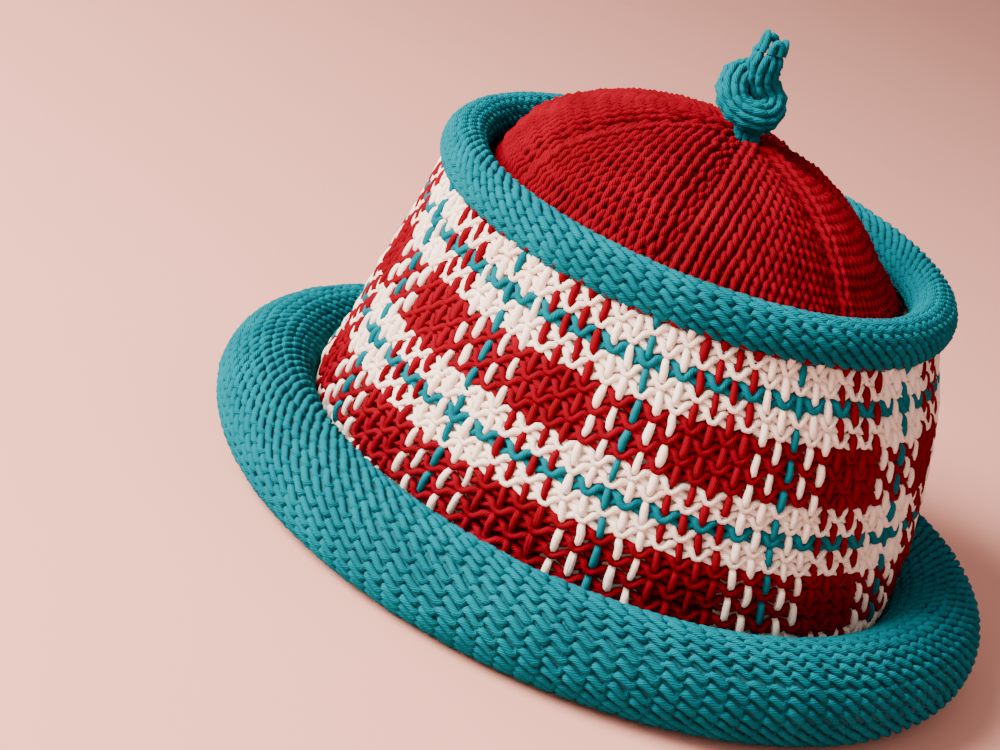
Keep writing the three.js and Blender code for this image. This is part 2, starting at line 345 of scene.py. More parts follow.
def yarn_mesh(name, paths, radius, closed, seed, sides=YARN_SIDES, shape=None):
    """One mesh of round yarns that follow the paths. The yarn is a little thick and thin,
    and shape, when it is given, says how thick each path is at each of its points."""
    curve = bpy.data.curves.new(name, "CURVE")
    curve.dimensions = "3D"
    curve.bevel_depth = radius * MM
    curve.bevel_resolution = sides // 2 - 2
    curve.use_fill_caps = not closed
    chance = np.random.RandomState(seed)
    for number, points in enumerate(paths):
        spline = curve.splines.new("POLY")
        spline.points.add(len(points) - 1)
        spline.use_cyclic_u = closed
        spline.use_smooth = True
        spline.points.foreach_set("co", np.hstack([points, np.ones((len(points), 1))]).ravel())
        bulges = chance.normal(1.0, THICKNESS_ERROR, len(points) // POINTS_PER_BULGE + 2)
        thickness = np.interp(np.linspace(0, len(bulges) - 1, len(points)),
                              np.arange(len(bulges)), bulges)
        if shape is not None:
            thickness = thickness * shape[number]
        spline.points.foreach_set("radius", thickness)
    carrier = bpy.data.objects.new(name, curve)
    bpy.context.scene.collection.objects.link(carrier)
    ready = carrier.evaluated_get(bpy.context.evaluated_depsgraph_get())
    mesh = bpy.data.meshes.new_from_object(ready)
    bpy.data.objects.remove(carrier)
    bpy.data.curves.remove(curve)
    mesh.name = name
    for polygon in mesh.polygons:
        polygon.use_smooth = True
    stretch_uv(mesh, paths, closed, sides)
    return mesh


def stretch_uv(mesh, paths, closed, sides):
    """Makes U the distance along each yarn in millimetres."""
    layer = mesh.uv_layers.active.data
    flat = np.empty(2 * len(layer))
    layer.foreach_get("uv", flat)
    uv = flat.reshape(-1, 2)
    start = 0
    for points in paths:
        corners = 4 * sides * (len(points) - (0 if closed else 1))
        uv[start:start + corners, 0] *= path_length(points, closed)
        start += corners
        if not closed:
            start += 2 * sides
    layer.foreach_set("uv", uv.ravel())


def triangles(mesh):
    """Triangles in a mesh."""
    return sum(len(polygon.vertices) - 2 for polygon in mesh.polygons)


def on_ring(radius, azimuth, height):
    """Points in metres. The azimuth is measured from the front towards the right."""
    return np.stack([radius * np.sin(azimuth), -radius * np.cos(azimuth), height], axis=-1) * MM


# %% [markdown]
# The hat isn't round. It keeps the oval of its wearer's head, deeper from front to back
# than from side to side, its upper part tilts forward by two millimetres, and the soft brim
# is fuller at the front than at the back. A lattice could bend the finished hat, but two
# short rules say the same in numbers, one for the brim and one for everything above it.
# Every yarn and backing goes through them, so neighbours never part.

# %% How the hat departs from round
OVAL = 3.6                # mm further out at front and back, and further in at the sides
FORWARD = 2.3             # mm lower at the front
ASIDE = 0.4               # mm lower at the right
TILT_HEIGHTS = (16.0, 60.0)       # the tilt grows between them
FULL_RADIUS = 80.0        # from here outwards the oval and the tilt are full
TUBE_INNER = 96.5         # radius where the brim begins
SKEW = 3.3                # mm further out at the front right and the back left of the brim
SET_BACK = 3.4            # mm by which the brim stands to the back
FRONT_FULLNESS = 0.084
RIGHT_FULLNESS = 0.016
SIDES_FULLNESS = 0.064


def smooth_step(value, low, high):
    """0 below low, 1 above high and a smooth rise between them."""
    share = np.clip((value - low) / (high - low), 0.0, 1.0)
    return share * share * (3 - 2 * share)


def fullness(azimuth):
    """How much fuller than average the brim is."""
    return (1 + FRONT_FULLNESS * np.cos(azimuth) + RIGHT_FULLNESS * np.sin(azimuth)
            - SIDES_FULLNESS * np.cos(2 * azimuth))


def seat_on_brim(radius, azimuth, height):
    """The shape that the brim gives to a round ring, as points in metres."""
    full = fullness(azimuth)
    round_radius = TUBE_INNER + (radius - TUBE_INNER) * full
    out = round_radius + OVAL * np.cos(2 * azimuth) + SKEW * np.sin(2 * azimuth)
    return on_ring(out, azimuth, height * full) + np.array([0.0, SET_BACK, 0.0]) * MM


def seat_on_head(radius, azimuth, height):
    """The shape that a head gives to the upper hat, as points in metres."""
    reach = np.minimum(radius / FULL_RADIUS, 1.0)
    tilt = FORWARD * np.cos(azimuth) + ASIDE * np.sin(azimuth)
    drop = tilt * reach * smooth_step(height, *TILT_HEIGHTS)
    return on_ring(radius + OVAL * np.cos(2 * azimuth) * reach, azimuth, height - drop)


# %% [markdown]
# The backing of a piece is a thin closed wall behind the yarn. Its section is drawn once,
# as a ring of vertices, spun round the axis with the seam merged, and then bent by the same
# rule as the yarn. A lathe on its own would be simpler, but then the round backing would
# part from the oval rows of yarn.

# %% Backing helper
SPIN_STEPS = 120


def spun_wall(name, section, bend):
    """Spins a closed section of (radius, height) round Z and bends it. Millimetres."""
    bm = bmesh.new()
    corners = [bm.verts.new((radius, 0.0, height)) for radius, height in section]
    edges = [bm.edges.new((corners[i], corners[(i + 1) % len(corners)]))
             for i in range(len(corners))]
    bmesh.ops.spin(bm, geom=corners + edges, cent=(0, 0, 0), axis=(0, 0, 1), angle=TAU,
                   steps=SPIN_STEPS, use_merge=True)
    bmesh.ops.remove_doubles(bm, verts=bm.verts[:], dist=1e-4)
    for vertex in bm.verts:
        radius = math.hypot(vertex.co.x, vertex.co.y)
        azimuth = math.atan2(vertex.co.x, -vertex.co.y)
        vertex.co = Vector(bend(radius, azimuth, vertex.co.z))
    bmesh.ops.recalc_face_normals(bm, faces=bm.faces[:])
    mesh = bpy.data.meshes.new(name)
    bm.to_mesh(mesh)
    bm.free()
    for polygon in mesh.polygons:
        polygon.use_smooth = True
    return mesh


# %% [markdown]
# What shows between the stitches is more wool in shadow. The backing has the yarn's colour,
# only deeper as painted shade, and a fine bump, so that no smooth skin is ever seen through a gap.

# %% Backing material
TUFT_SIZE = 0.9           # mm across a tuft of matted wool
TUFT_DEPTH = 0.5 * MM


def matted_wool(name):
    """The matted wool behind the stitches, without its colour."""
    material, tree, shader = new_material(name)
    place = add(tree, "ShaderNodeTexCoord").outputs["Object"]
    tufts = add(tree, "ShaderNodeTexNoise",
                {"Vector": place, "Scale": 1 / (TUFT_SIZE * MM), "Detail": 4.0})
    bump = add(tree, "ShaderNodeBump",
               {"Height": tufts.outputs["Fac"], "Strength": 0.9, "Distance": TUFT_DEPTH})
    tree.links.new(bump.outputs["Normal"], shader.inputs["Normal"])
    shader.inputs["Roughness"].default_value = 0.95
    shader.inputs["Specular IOR Level"].default_value = 0.1
    return material, tree, shader, tufts.outputs["Fac"]


def felted_wool(name, tone, shade):
    """Matted wool of one dye, in tones deeper than its yarn: painted shade."""
    material, tree, shader, tufts = matted_wool(name)
    colour = add(tree, "ShaderNodeMix", {"Factor": tufts, "A": linear(shade), "B": linear(tone)},
                 data_type="RGBA")
    tree.links.new(colour.outputs["Result"], shader.inputs["Base Color"])
    shader.inputs["Sheen Weight"].default_value = 0.2
    return material


# These tones are deeper than the yarn's: painted shade between the stitches.
teal_felt = felted_wool("teal wool, matted behind the stitches", "#04606c", "#03434c")
red_felt = felted_wool("red wool, matted behind the stitches", "#62000e", "#46000a")
print("backing materials:", teal_felt.name, "/", red_felt.name)

# %% [markdown]
# The brim is the end of the side band, left to roll. At its first and last rows plain
# knitting curls towards its plain side, so the edge turns out, up and over, shows its purl
# side and then winds inside itself. A stuffed ring would look alike from above, but from
# below one sees that it is a rolled strip. The rows run round the hat, a row for every
# 3.5 mm of the roll's surface, with 132 stitches to a row of the brim and 108 to a row of
# the top roll.

# %% Places on the rolled edges
TEAL_RADIUS = 1.08
BRIM_TUBE = 14.6          # radius of the roll
BRIM_RING = TUBE_INNER + BRIM_TUBE
BRIM_HEIGHT = 13.8
BRIM_START = 165.0        # degrees round the section, where the roll leaves the band
ROLL_RING = 77.1
ROLL_TUBE = 7.8
ROLL_HEIGHT = 104.7
ROLL_START = 258.0


def brim_place(azimuth, turned, out):
    """A point of the brim: turned is degrees along the roll, out the distance from its core."""
    section = np.radians(BRIM_START + turned)
    radius = BRIM_RING + out * np.cos(section)
    height = np.maximum(BRIM_HEIGHT + out * np.sin(section), TEAL_RADIUS)
    return seat_on_brim(radius, azimuth, height)


def roll_place(azimuth, turned, out):
    """A point of the narrow roll, in the same terms."""
    section = np.radians(ROLL_START + turned)
    return seat_on_head(ROLL_RING + out * np.cos(section), azimuth,
                        ROLL_HEIGHT + out * np.sin(section))


# %% [markdown]
# On the purl side a row shows as a line of S-shaped strokes, each a stitch long, that step
# down to the right, and the yarn goes back up behind them. Loops that were drawn in full
# would hide these strokes under their heads, so the rows of a roll swing less far than real
# ones and have no neck. The strokes lie close to each other, with dark pits in between.

# %% Purl rows
PURL_REACH = 0.34
PURL_SLANT = 0.12
PURL_DEPTH = 0.4
PURL_INSET = 0.95 + TEAL_RADIUS   # the row's middle line, in from the roll's face
ROW_SLIP = 0.12           # of a stitch, from one row to the next
BRIM_STITCHES = 132
ROLL_STITCHES = 108
PURL_ROW = 3.5


def purl_rows(place, tube, row_height, stitches, seed):
    """The rows of a rolled edge, from the band over the top and round to the underside."""
    paths = []
    step = math.degrees(row_height / tube)
    for row in range(int(360 / step)):
        chance = np.random.RandomState(seed + row)
        share, rise, lift = stitch_row(stitches, row_height, PURL_DEPTH, -1, chance,
                                       neck=0.0, reach=PURL_REACH, slant=PURL_SLANT)
        slip = chance.uniform(-ROW_SLIP, ROW_SLIP) / stitches
        turned = (row + 0.5) * step + np.degrees(rise / tube)
        paths.append(place(TAU * (share + slip), turned, tube - PURL_INSET + lift))
    return paths


brim_paths = purl_rows(brim_place, BRIM_TUBE, PURL_ROW, BRIM_STITCHES, seed=100)
third = len(brim_paths) // 3
for name, some in (("brim_yarn_inner", brim_paths[:third]),
                   ("brim_yarn_under", brim_paths[third:2 * third]),
                   ("brim_yarn_outer", brim_paths[2 * third:])):
    mesh = yarn_mesh(name, some, TEAL_RADIUS, closed=True, seed=7)
    make_object(name, mesh, teal_yarn, "teal_wool", "brim_roll")
    print(name, len(some), "rows,", triangles(mesh), "triangles")

roll_paths = purl_rows(roll_place, ROLL_TUBE, PURL_ROW, ROLL_STITCHES, seed=200)
roll_mesh = yarn_mesh("top_roll_yarn", roll_paths, TEAL_RADIUS, closed=True, seed=8)
make_object("top_roll_yarn", roll_mesh, teal_yarn, "teal_wool", "top_roll")
print("top_roll_yarn", len(roll_paths), "rows,", triangles(roll_mesh), "triangles")

# %% [markdown]
# The backing of a roll has the section of the real one: a strip that goes once round and
# then winds into itself, with open space between its turns. A closed tube would look the
# same from outside, but its end would be missing from below.

# %% Backing of the rolled edges
BACKING_INSET = PURL_INSET + 0.3
BACKING_WALL = 0.7
SECTION_STEP = 12         # degrees


def wound_section(start, sweep, tube, ring, height, winding, ramp_start, ramp_length):
    """Section of a strip that winds into itself, open between its turns. It turns by sweep
    degrees, and from ramp_start on it moves in by winding millimetres."""
    outer = []
    inner = []
    for turned in range(0, sweep + 1, SECTION_STEP):
        wound = winding * min(max((turned - ramp_start) / ramp_length, 0.0), 1.0)
        angle = math.radians(start + turned)
        for side, reach in ((outer, tube - BACKING_INSET - wound),
                            (inner, tube - BACKING_INSET - BACKING_WALL - wound)):
            side.append((ring + reach * math.cos(angle), height + reach * math.sin(angle)))
    return outer + inner[::-1]


brim_section = wound_section(BRIM_START, sweep=480, tube=BRIM_TUBE, ring=BRIM_RING,
                             height=BRIM_HEIGHT, winding=4.2, ramp_start=285, ramp_length=75)
brim_wall = spun_wall("brim_backing", brim_section, seat_on_brim)
make_object("brim_backing", brim_wall, teal_felt, "teal_wool", "brim_roll")
roll_section = wound_section(ROLL_START, sweep=450, tube=ROLL_TUBE, ring=ROLL_RING,
                             height=ROLL_HEIGHT, winding=3.2, ramp_start=288, ramp_length=108)
roll_wall = spun_wall("top_roll_backing", roll_section, seat_on_head)
make_object("top_roll_backing", roll_wall, teal_felt, "teal_wool", "top_roll")
print("backings", triangles(brim_wall), triangles(roll_wall), "triangles")

# %% [markdown]
# The band is knitted in slip-stitch plaid. Every second stitch of a row is knitted, and
# shows as a small cup of that row's colour. The others are slipped, so a fat upright strand
# of the column's colour lies over the row instead, and its lower end rests in the next cup.
# On the next row the two change places. A second strand of the row's yarn, the back of its
# loops, shows low at both sides of the upright strands. Rows and columns follow one order
# of colours, nine long: a teal line between two cream ones each side, then four red. So
# where a red column crosses a red row all is red, and elsewhere the two colours mingle.

# %% Plaid order
COLUMNS = 108
BAND_ROWS = 20
COLOUR_ORDER = "TWWRRRRWW"
FIRST_ROW_SHIFT = 6
# height and outside radius
BAND_OUTSIDE = np.array([(24, 97.4), (42, 95.1), (61, 91.8), (80, 87.3), (97.9, 82.2)])
BAND_FOOT = BRIM_HEIGHT + BRIM_TUBE * math.sin(math.radians(BRIM_START))
BAND_FREE = 42.0          # height from which the brim no longer pulls at the band
BULGE = 2.3               # mm to the right, half way up
BULGE_STARTS = (16.0, 40.0)
BULGE_ENDS = (76.0, 98.0)
HALF_GIRTH_RADIUS = 92.0


def column_colour(column):
    return COLOUR_ORDER[column % 9]


def row_colour(row):
    return COLOUR_ORDER[(row + FIRST_ROW_SHIFT) % 9]


def band_place(azimuth, height, out):
    """A point of the band, out from the CAD's outer face; its foot follows the brim."""
    radius = np.interp(height, BAND_OUTSIDE[:, 0], BAND_OUTSIDE[:, 1]) + out
    low = seat_on_brim(radius, azimuth, height)
    high = seat_on_head(radius, azimuth, height)
    aside = BULGE * smooth_step(height, *BULGE_STARTS) * (1 - smooth_step(height, *BULGE_ENDS))
    high[..., 0] += aside * MM
    share = smooth_step(height, BAND_FOOT, BAND_FREE)[..., None]
    return low * (1 - share) + high * share


print("order of the first rows:", "".join(row_colour(row) for row in range(9)))

# %% [markdown]
# The columns have equal widths along the oval, so near the front, where it is widest, they
# are closer together in angle. They lean slightly to the right on their way down, and at
# the front right, where the brim pulls at the band, the last rows are drawn aside by four
# degrees more. The rows are four millimetres high, but the brim's weight stretches the last
# ones to more than five. The first row hides under the top roll.

# %% Where a stitch of the band sits
FIRST_COLUMN = math.radians(-4.35)
LEAN = math.radians(0.1)
DRAWN_ASIDE = math.radians(4.4)
DRAWN_ROWS = (11.0, 22.0)
DRAWN_STARTS = (-33.0, -8.0)      # degrees to the right of the front
DRAWN_ENDS = (60.0, 150.0)
ROW_NUMBERS = [-1, 0, 7, 15, 21]
ROW_HEIGHTS = [104.5, 100.35, 71.4, 39.4, 7.7]
ROW_PITCH = 4.1


def stitch_azimuth(column, row):
    """Azimuth of a place on the band's chart."""
    along = FIRST_COLUMN + TAU * column / COLUMNS
    turned = np.degrees(np.mod(along + math.pi, TAU) - math.pi)
    pulled = smooth_step(turned, *DRAWN_STARTS) * (1 - smooth_step(turned, *DRAWN_ENDS))
    along = along + LEAN * row + DRAWN_ASIDE * smooth_step(row, *DRAWN_ROWS) * pulled
    return along - OVAL / (2 * HALF_GIRTH_RADIUS) * np.sin(2 * along)


def row_height(row):
    """Height of a place on the chart."""
    return np.interp(row, ROW_NUMBERS, ROW_HEIGHTS)


print("columns", round(360 / COLUMNS, 2), "degrees wide")

# %% [markdown]
# The front of a knitted row is a line of cups. A cup is as wide as its column, its yarn is
# stretched thin at the bottom, and its two ends go up and then back, behind the strands of
# the slipped columns at both sides. Its points are set close together where it bends most.

# %% Cups of a row
WEFT_RADIUS = 1.1
STRETCHED = {"R": 0.84, "W": 0.72, "T": 0.95}
SHOULDER_SHARE = 1.1      # thickness of a cup's shoulders against the yarn's
STRETCHED_TO = (0.2, 0.55)
CUP_BOTTOM = -0.5         # height of a cup against the chart's row
CUP_TOP = 1.9
CUP_SIDES = (0.1, 0.52)   # columns from the middle of a cup, where its sides rise
FRONT_OUT = -0.95
BACK_STEP = 2.0           # mm from the front of the fabric to behind the slipped strands
CUP_GOES_BACK = (0.25, 0.9)
CUP_TOP_ERROR = 0.2       # errors in mm, but the wander is in columns
CUP_OUT_ERROR = 0.1
CUP_HEIGHT_ERROR = 0.14
CUP_WANDER = 0.035
CUP_POINTS = np.array([0.0, 0.15, 0.3, 0.44, 0.64])
WEFT_STEPS = np.concatenate([CUP_POINTS, [1.0], 2.0 - CUP_POINTS[:0:-1]])


def row_columns(row, steps):
    """Places along a row, as columns, that repeat the steps from each knitted stitch on."""
    starts = np.arange((row + 1) % 2, COLUMNS, 2)
    return (starts[:, None] + steps[None, :]).ravel()


def from_knitted(column, row):
    """Columns to the nearest knitted stitch of a row: 0 on it and 1 on a slipped one."""
    return np.abs(np.mod(column + row, 2.0) - 1)


def weft_path(row, chance):
    """The front of a knitted row: cups on its own stitches, and behind at the slipped ones."""
    column = row_columns(row, WEFT_STEPS)
    away = from_knitted(column, row)
    top = CUP_TOP + uneven(column, COLUMNS, chance, CUP_TOP_ERROR)
    lift = CUP_BOTTOM + (top - CUP_BOTTOM) * smooth_step(away, *CUP_SIDES)
    out = FRONT_OUT - BACK_STEP * smooth_step(away, *CUP_GOES_BACK)
    out = out + uneven(column, COLUMNS, chance, CUP_OUT_ERROR)
    height = row_height(row) + lift + uneven(column, COLUMNS, chance, CUP_HEIGHT_ERROR)
    wander = uneven(column, COLUMNS, chance, CUP_WANDER)
    return band_place(stitch_azimuth(column + wander, row), height, out)


def weft_shape(row):
    """A cup's yarn is stretched thin at its bottom, most of all the cream one."""
    thin = STRETCHED[row_colour(row)]
    away = from_knitted(row_columns(row, WEFT_STEPS), row)
    return thin + (SHOULDER_SHARE - thin) * smooth_step(away, *STRETCHED_TO)


print("a cup has", len(WEFT_STEPS), "points")

# %% [markdown]
# The back of the same loops lies behind the cups and fills the fabric. It shows low at both
# sides of the slipped strands, so it needs few points and only four sides. The slipped
# strands are the yarn of their column. They lie in front of the row for most of their
# length and dip behind a cup on every second row, fat in the middle and thin at the dip.

# %% Loops behind and slipped strands in front
LOOP_RADIUS = 1.1
LOOP_LOW = -1.1
LOOP_HIGH = 0.9
LOOP_FALLS = (0.1, 0.8)
LOOP_OUT = -2.1
LOOP_BULGE = 0.3
LOOP_OUT_ERROR = 0.15
LOOP_HEIGHT_ERROR = 0.2
LOOP_POINTS = 4           # points for each column
LOOP_SIDES = 4
WARP_RADIUS = 1.12
WARP_OUT = -1.0
WARP_POINTS = 4           # points for each row
WARP_DIPS = (0.12, 0.55)
WARP_THIN = 0.86          # thickness at the dip against the yarn's
WARP_FATTER = 0.22
WARP_FATTENS = (0.2, 0.9)
WARP_LEAN_ERROR = 0.045   # columns
WARP_OUT_ERROR = 0.1
WARP_FAT_ERROR = 0.09


def loop_path(row, chance):
    """The back of a knitted row: low behind the upright strands, high behind the cups."""
    column = np.arange(COLUMNS * LOOP_POINTS) / LOOP_POINTS
    away = from_knitted(column, row)
    lift = LOOP_HIGH + (LOOP_LOW - LOOP_HIGH) * smooth_step(away, *LOOP_FALLS)
    out = LOOP_OUT + LOOP_BULGE * np.sin(math.pi * away)
    out = out + uneven(column, COLUMNS, chance, LOOP_OUT_ERROR)
    height = row_height(row) + lift + uneven(column, COLUMNS, chance, LOOP_HEIGHT_ERROR)
    return band_place(stitch_azimuth(column, row), height, out)


def warp_path(column, chance):
    """A column's yarn: a long strand in front, and a short dip behind each cup."""
    row = np.arange(BAND_ROWS * WARP_POINTS + 1) / WARP_POINTS
    to_cup = from_knitted(column, row)
    out = WARP_OUT - BACK_STEP * (1 - smooth_step(to_cup, *WARP_DIPS))
    lean = uneven(row, BAND_ROWS + 1, chance, WARP_LEAN_ERROR)
    azimuth = stitch_azimuth(column + lean, row - CUP_BOTTOM / ROW_PITCH)
    height = row_height(row) + CUP_BOTTOM
    out = out + uneven(row, BAND_ROWS + 1, chance, WARP_OUT_ERROR)
    return band_place(azimuth, height, out)


def warp_shape(column, chance):
    """An upright strand is thickest in its middle, and some strands are fatter than others."""
    row = np.arange(BAND_ROWS * WARP_POINTS + 1) / WARP_POINTS
    fat = 1.0 + uneven(row / 2, BAND_ROWS, chance, WARP_FAT_ERROR)
    to_cup = from_knitted(column, row)
    return fat * (WARP_THIN + WARP_FATTER * smooth_step(to_cup, *WARP_FATTENS))


print("a slipped strand has", WARP_POINTS, "points for each row")

# %% [markdown]
# Each colour gives three pieces: its rows of cups, the loops behind them, and its columns
# of slipped strands. One piece for all would pass the size at which its file is thinned.

# %% Yarns of the band
COLOURS = {"R": ("red", red_yarn), "W": ("cream", cream_yarn), "T": ("teal", teal_yarn)}
for letter, (word, material) in COLOURS.items():
    rows = [row for row in range(BAND_ROWS) if row_colour(row) == letter]
    columns = [column for column in range(COLUMNS) if column_colour(column) == letter]
    wefts = [weft_path(row, np.random.RandomState(300 + row)) for row in rows]
    loops = [loop_path(row, np.random.RandomState(350 + row)) for row in rows]
    warps = [warp_path(column, np.random.RandomState(400 + column)) for column in columns]
    weft_shapes = [weft_shape(row) for row in rows]
    warp_shapes = [warp_shape(column, np.random.RandomState(600 + column)) for column in columns]
    pieces = {
        "rows": yarn_mesh("rows", wefts, WEFT_RADIUS, closed=True, seed=9, shape=weft_shapes),
        "loops": yarn_mesh("loops", loops, LOOP_RADIUS, closed=True, seed=12, sides=LOOP_SIDES),
        "slipped": yarn_mesh("slipped", warps, WARP_RADIUS, closed=False, seed=13,
                             shape=warp_shapes),
    }
    for kind, mesh in pieces.items():
        mesh.name = "band_" + kind + "_" + word
        make_object(mesh.name, mesh, material, "plaid_wool", "plaid_band")
        print(mesh.name, triangles(mesh), "triangles")

# %% [markdown]
# Behind the stitches of the band lies the wool of the same stitches, so the backing takes
# its colours from the chart as well, in deeper tones that are painted shade. It has one face
# for each place of the chart, and a colour attribute gives it the mean of the row's and the column's
# colour.

# %% Backing of the band
BAND_BACKING = 2.7
# Each tone is deeper than its yarn's: painted shade between the stitches.
BACKING_TONES = {"R": "#3c000c", "W": "#e6d3c0", "T": "#064a53"}
ABOVE_FIRST_ROW = 0.9     # rows by which the wall starts above the first one


def chart_wall():
    """The band's backing, a closed wall with a face for each place of the chart."""
    bm = bmesh.new()
    tint = bm.loops.layers.float_color.new("chart")
    rows = np.arange(BAND_ROWS + 2) - ABOVE_FIRST_ROW
    columns = np.arange(COLUMNS) - 0.5
    sheets = []
    for reach in (-BAND_BACKING, -BAND_BACKING - BACKING_WALL):
        grid = [band_place(stitch_azimuth(columns, row), np.full(COLUMNS, row_height(row)), reach)
                for row in rows]
        sheets.append([[bm.verts.new(point) for point in line] for line in grid])
    for row in range(BAND_ROWS + 1):
        for column in range(COLUMNS):
            one = np.array(linear(BACKING_TONES[row_colour(row)]))
            two = np.array(linear(BACKING_TONES[column_colour(column)]))
            for sheet in sheets:
                after = (column + 1) % COLUMNS
                face = bm.faces.new((sheet[row][column], sheet[row][after],
                                     sheet[row + 1][after], sheet[row + 1][column]))
                face.smooth = True
                for loop in face.loops:
                    loop[tint] = (one + two) / 2
    for edge in (0, -1):
        for column in range(COLUMNS):
            after = (column + 1) % COLUMNS
            bm.faces.new((sheets[0][edge][column], sheets[0][edge][after],
                          sheets[1][edge][after], sheets[1][edge][column]))
    bmesh.ops.recalc_face_normals(bm, faces=bm.faces[:])
    mesh = bpy.data.meshes.new("band_backing")
    bm.to_mesh(mesh)
    bm.free()
    return mesh


chart_felt, chart_tree, chart_shader, _ = matted_wool("wool of all three colours, matted")
chart_colour = add(chart_tree, "ShaderNodeVertexColor", layer_name="chart")
chart_tree.links.new(chart_colour.outputs["Color"], chart_shader.inputs["Base Color"])

band_wall = chart_wall()
make_object("band_backing", band_wall, chart_felt, "plaid_wool", "plaid_band")
print("band backing,", triangles(band_wall), "triangles")

# %% [markdown]
# The crown is plain knitting, worked inwards, with 77 stitches to a round where it comes out
# from under the top roll. On about every second round one stitch is lost in each of the
# seven sections, always at its right end. So the stitches of a section keep their distance
# from the ridge at its left, in straight lines that end one after another at the ridge on
# the right, and a row's last stitch is squeezed or stretched into what is left. The ridge
# itself is a raised line of stitches beside a groove. The rows are placed by their distance
# up the dome, which slumps a little to the right.

# %% The dome
CROWN_SECTIONS = 7
FIRST_RIDGE = math.radians(-7)
SECTION_PUFF = 3.2        # mm from the bottom of a crease to the top of a section
SLUMP = 8.5               # mm lower at the right
SLUMP_HEIGHTS = (100.0, 116.0)
LEAN_RIGHT = 3.2          # mm by which the top stands to the right
DOME = np.array([(77.2, 94.3), (72.2, 94.8), (69.0, 98.4), (66.4, 104.6), (60.6, 112.6),
                 (52.6, 119.4), (42.8, 125.2), (31.0, 129.9), (17.6, 133.0), (5.4, 134.9)])
DOME_FOOT = 104.6         # height where the sections begin to swell
DOME_TOP = 134.9
PUFF_STARTS = 3.2         # mm below and above the foot in which the swelling starts
PUFF_RADIUS = 31.0        # inside this radius it fades towards the top
SLOPE_REACH = 3.0         # mm each way in which the dome's slope is measured
steps = np.linalg.norm(np.diff(DOME, axis=0), axis=1)
DOME_LENGTH = np.concatenate([[0.0], np.cumsum(steps)])


def on_dome(distance, axis):
    """Radius (axis 0) or height (axis 1) of the dome at a distance from its hidden edge."""
    return np.interp(distance, DOME_LENGTH, DOME[:, axis])


def crown_place(azimuth, distance, out):
    """A point of the crown, out from the dome's face."""
    near = np.clip(distance, 0.0, DOME_LENGTH[-1])
    ahead = np.clip(near + SLOPE_REACH, 0.0, DOME_LENGTH[-1])
    behind = np.clip(near - SLOPE_REACH, 0.0, DOME_LENGTH[-1])
    run = on_dome(ahead, 0) - on_dome(behind, 0)
    climb = on_dome(ahead, 1) - on_dome(behind, 1)
    size = np.hypot(run, climb)
    radius = on_dome(near, 0) + out * climb / size
    height = on_dome(near, 1) - out * run / size
    puff = np.sqrt(np.abs(np.sin((azimuth - FIRST_RIDGE) * CROWN_SECTIONS / 2)))
    fade = smooth_step(height, DOME_FOOT - PUFF_STARTS, DOME_FOOT + PUFF_STARTS)
    fade = fade * smooth_step(radius, 0.0, PUFF_RADIUS)
    swell = SECTION_PUFF * (puff - 0.5) * fade
    slope = (DOME_TOP - height) / (DOME_TOP - DOME_FOOT)
    radius = radius + swell * slope
    height = height + swell * (1 - slope)
    place = seat_on_head(radius, azimuth, height)
    reach = np.minimum(radius / FULL_RADIUS, 1.0)
    drop = SLUMP * np.sin(azimuth) * reach * smooth_step(height, *SLUMP_HEIGHTS)
    aside = LEAN_RIGHT * smooth_step(height, DOME_FOOT, DOME_TOP)
    return place + np.stack([aside, 0 * aside, -drop], axis=-1) * MM


print("from the crown's hidden edge to the knot", round(DOME_LENGTH[-1], 1), "mm")

# %% [markdown]
# A round of the crown is a row of plain stitches, whose legs meet in a V. Its stitches are
# set out in millimetres from the ridge at the left of their section, and the stitch on the
# ridge is lifted while the one before it sinks.

# %% Yarn of the crown
CROWN_STITCH = 5.38
CROWN_ROW = 3.5
CROWN_DEPTH = 0.95
CROWN_RADIUS = 1.08
CROWN_NECK = 0.19
FIRST_ROUND = 2.0         # mm from the dome's hidden edge
LAST_ROUND = 2.5          # mm that stay free at the knot
RIDGE_LIFT = 0.8
RIDGE_PLACE = 0.6         # stitches to the right of a section's left end
GROOVE_DEPTH = 0.9
GROOVE_PLACE = -0.4
RIDGE_WIDTH = 0.5         # stitches
RIDGE_STARTS = (10.0, 24.0)       # mm from the hidden edge


def crown_path(row):
    """One round of the crown's stitches."""
    distance = FIRST_ROUND + CROWN_ROW * row
    width = TAU * on_dome(distance, 0) / CROWN_SECTIONS
    per_section = max(2, round(width / CROWN_STITCH))
    stitches = per_section * CROWN_SECTIONS
    chance = np.random.RandomState(500 + row)
    share, rise, lift = stitch_row(stitches, CROWN_ROW, CROWN_DEPTH, 1, chance, CROWN_NECK)
    number = share * stitches
    section = np.floor(number / per_section)
    inside = number - section * per_section
    straight = (per_section - 1) * CROWN_STITCH
    across = np.interp(inside, [0, per_section - 1, per_section], [0, straight, width])
    azimuth = FIRST_RIDGE + TAU * (section + across / width) / CROWN_SECTIONS
    from_ridge = np.where(inside < per_section / 2, inside, inside - per_section)
    ridge = RIDGE_LIFT * np.exp(-((from_ridge - RIDGE_PLACE) / RIDGE_WIDTH) ** 2)
    groove = GROOVE_DEPTH * np.exp(-((from_ridge - GROOVE_PLACE) / RIDGE_WIDTH) ** 2)
    shaped = smooth_step(distance, *RIDGE_STARTS)
    out = lift - CROWN_DEPTH - CROWN_RADIUS + (ridge - groove) * shaped
    return crown_place(azimuth, distance + rise, out)


crown_rows = int((DOME_LENGTH[-1] - LAST_ROUND) / CROWN_ROW)
crown_mesh = yarn_mesh("crown_yarn", [crown_path(row) for row in range(crown_rows)],
                       CROWN_RADIUS, closed=True, seed=10)
make_object("crown_yarn", crown_mesh, red_yarn, "red_wool", "crown")
print("crown_yarn", crown_rows, "rows,", triangles(crown_mesh), "triangles")

# %% [markdown]
# The crown's backing is laid on the dome in the same way: a flat ring is spun, whose radius
# stands for the distance up the dome, and then every vertex goes to its place on the crown.

